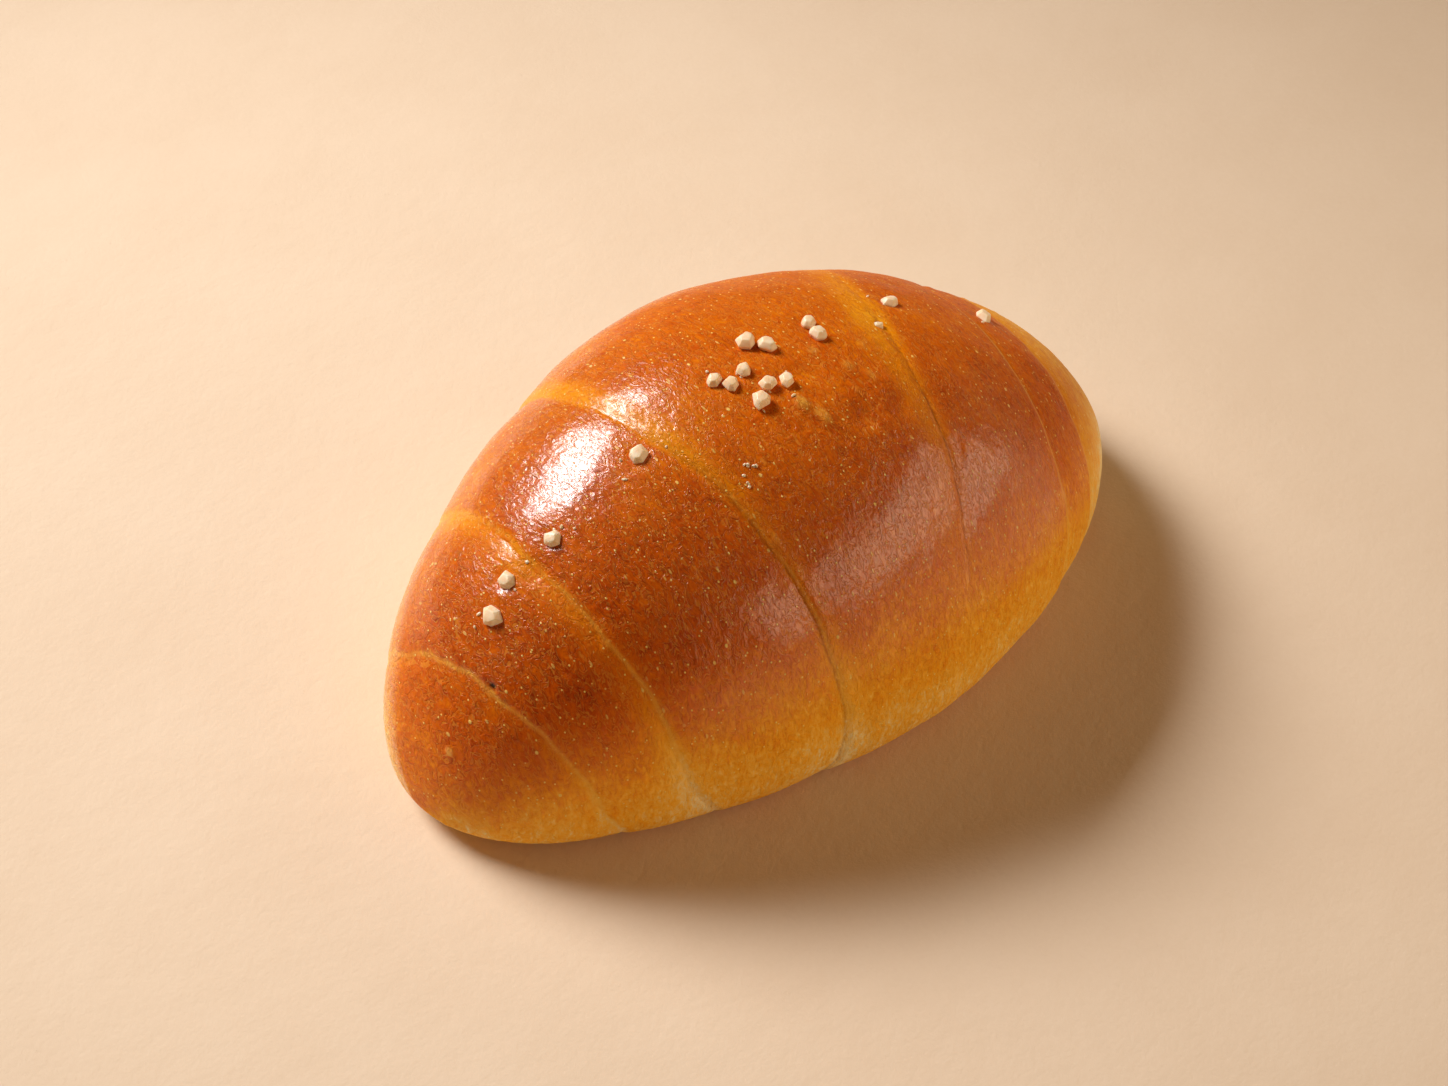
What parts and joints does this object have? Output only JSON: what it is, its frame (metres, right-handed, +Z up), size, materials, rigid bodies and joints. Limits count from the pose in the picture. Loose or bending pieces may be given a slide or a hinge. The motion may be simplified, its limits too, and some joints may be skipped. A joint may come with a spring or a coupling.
{
  "type": "salt bread roll",
  "caption": "Plump rolled bread with spiral wraps tapering to both tips, a glossy browned crust, a flat underside and coarse salt crystals along its crown.",
  "frame": {"origin": "middle of the flat underside, below the middle of the bounding box", "axes": "+X along the roll, -Y towards its front, +Z up from the tray it was baked on"},
  "size_m": [0.125, 0.0742, 0.0536],
  "materials": {
    "crust": "gloss",
    "salt": "satin"
  },
  "bodies": {
    "root": {"bread_roll": "crust", "salt_grain_01": "salt", "salt_grain_02": "salt", "salt_grain_03": "salt", "salt_grain_04": "salt", "salt_grain_05": "salt", "salt_grain_06": "salt", "salt_grain_07": "salt", "salt_grain_08": "salt", "salt_grain_09": "salt", "salt_grain_10": "salt", "salt_grain_11": "salt", "salt_grain_12": "salt", "salt_grain_13": "salt", "salt_grain_14": "salt", "salt_grain_15": "salt", "salt_grain_16": "salt", "salt_grain_17": "salt"}
  },
  "joints": []
}
